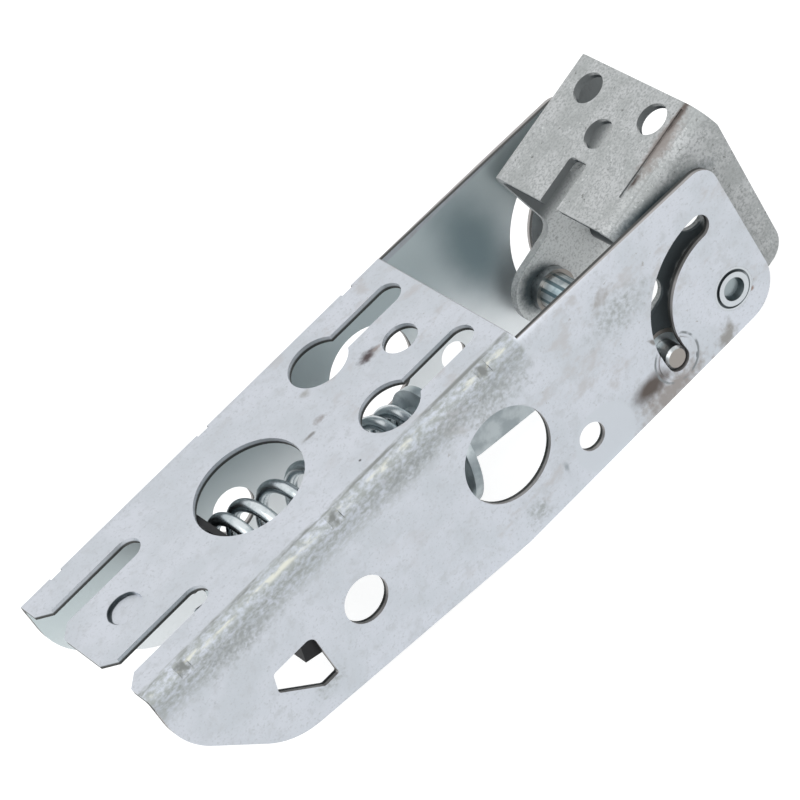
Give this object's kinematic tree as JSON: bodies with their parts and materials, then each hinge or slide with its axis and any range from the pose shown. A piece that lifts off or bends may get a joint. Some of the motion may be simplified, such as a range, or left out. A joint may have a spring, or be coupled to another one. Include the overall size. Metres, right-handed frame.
{
  "type": "refrigerator hinge",
  "caption": "Concealed fridge door hinge: folded steel channel with a tilted door bracket on a riveted pivot pin, snapped shut by a spring on a guide rod.",
  "frame": {"origin": "on the pivot axis, midway between the channel walls", "axes": "+X along the channel towards the pivot end, +Y along the pivot axis to the far wall, +Z out of the mounting web"},
  "size_m": [0.1248, 0.0384, 0.0352],
  "materials": {
    "zinc_sheet": "bright zinc plate, blotchy",
    "dipped_sheet": "rough hot-dip zinc, dull",
    "bright_steel": "turned and plated",
    "rod_steel": "plated, dull",
    "spring_steel": "bright drawn wire",
    "black_plastic": "moulded"
  },
  "bodies": {
    "channel": {"housing": "zinc_sheet", "pivot_rivet": "bright_steel", "pivot_washer_near": "bright_steel", "pivot_washer_far": "bright_steel", "spring_abutment": "black_plastic"},
    "bracket": {"door_bracket": "dipped_sheet", "cross_pin": "bright_steel", "pin_sleeve_near": "bright_steel", "pin_sleeve_far": "bright_steel", "eye_bush_near": "bright_steel", "eye_bush_far": "bright_steel"},
    "rod": {"guide_rod": "rod_steel", "spring_cup": "rod_steel", "spring": "spring_steel"}
  },
  "joints": [
    {"name": "door_swing", "type": "hinge", "parent": "channel", "child": "bracket", "pos_m": [0, 0, 0], "axis": [0, 1, 0], "range_deg": [0, 97]},
    {"name": "rod_swing", "type": "hinge", "parent": "bracket", "child": "rod", "pos_m": [-0.01388, 0, -0.00185], "axis": [0, 1, 0], "range_deg": [-111, 0], "deforming": ["spring"]}
  ],
  "couplings": [
    {"joint": "rod_swing", "follows": "door_swing", "ratio": -1.14}
  ]
}
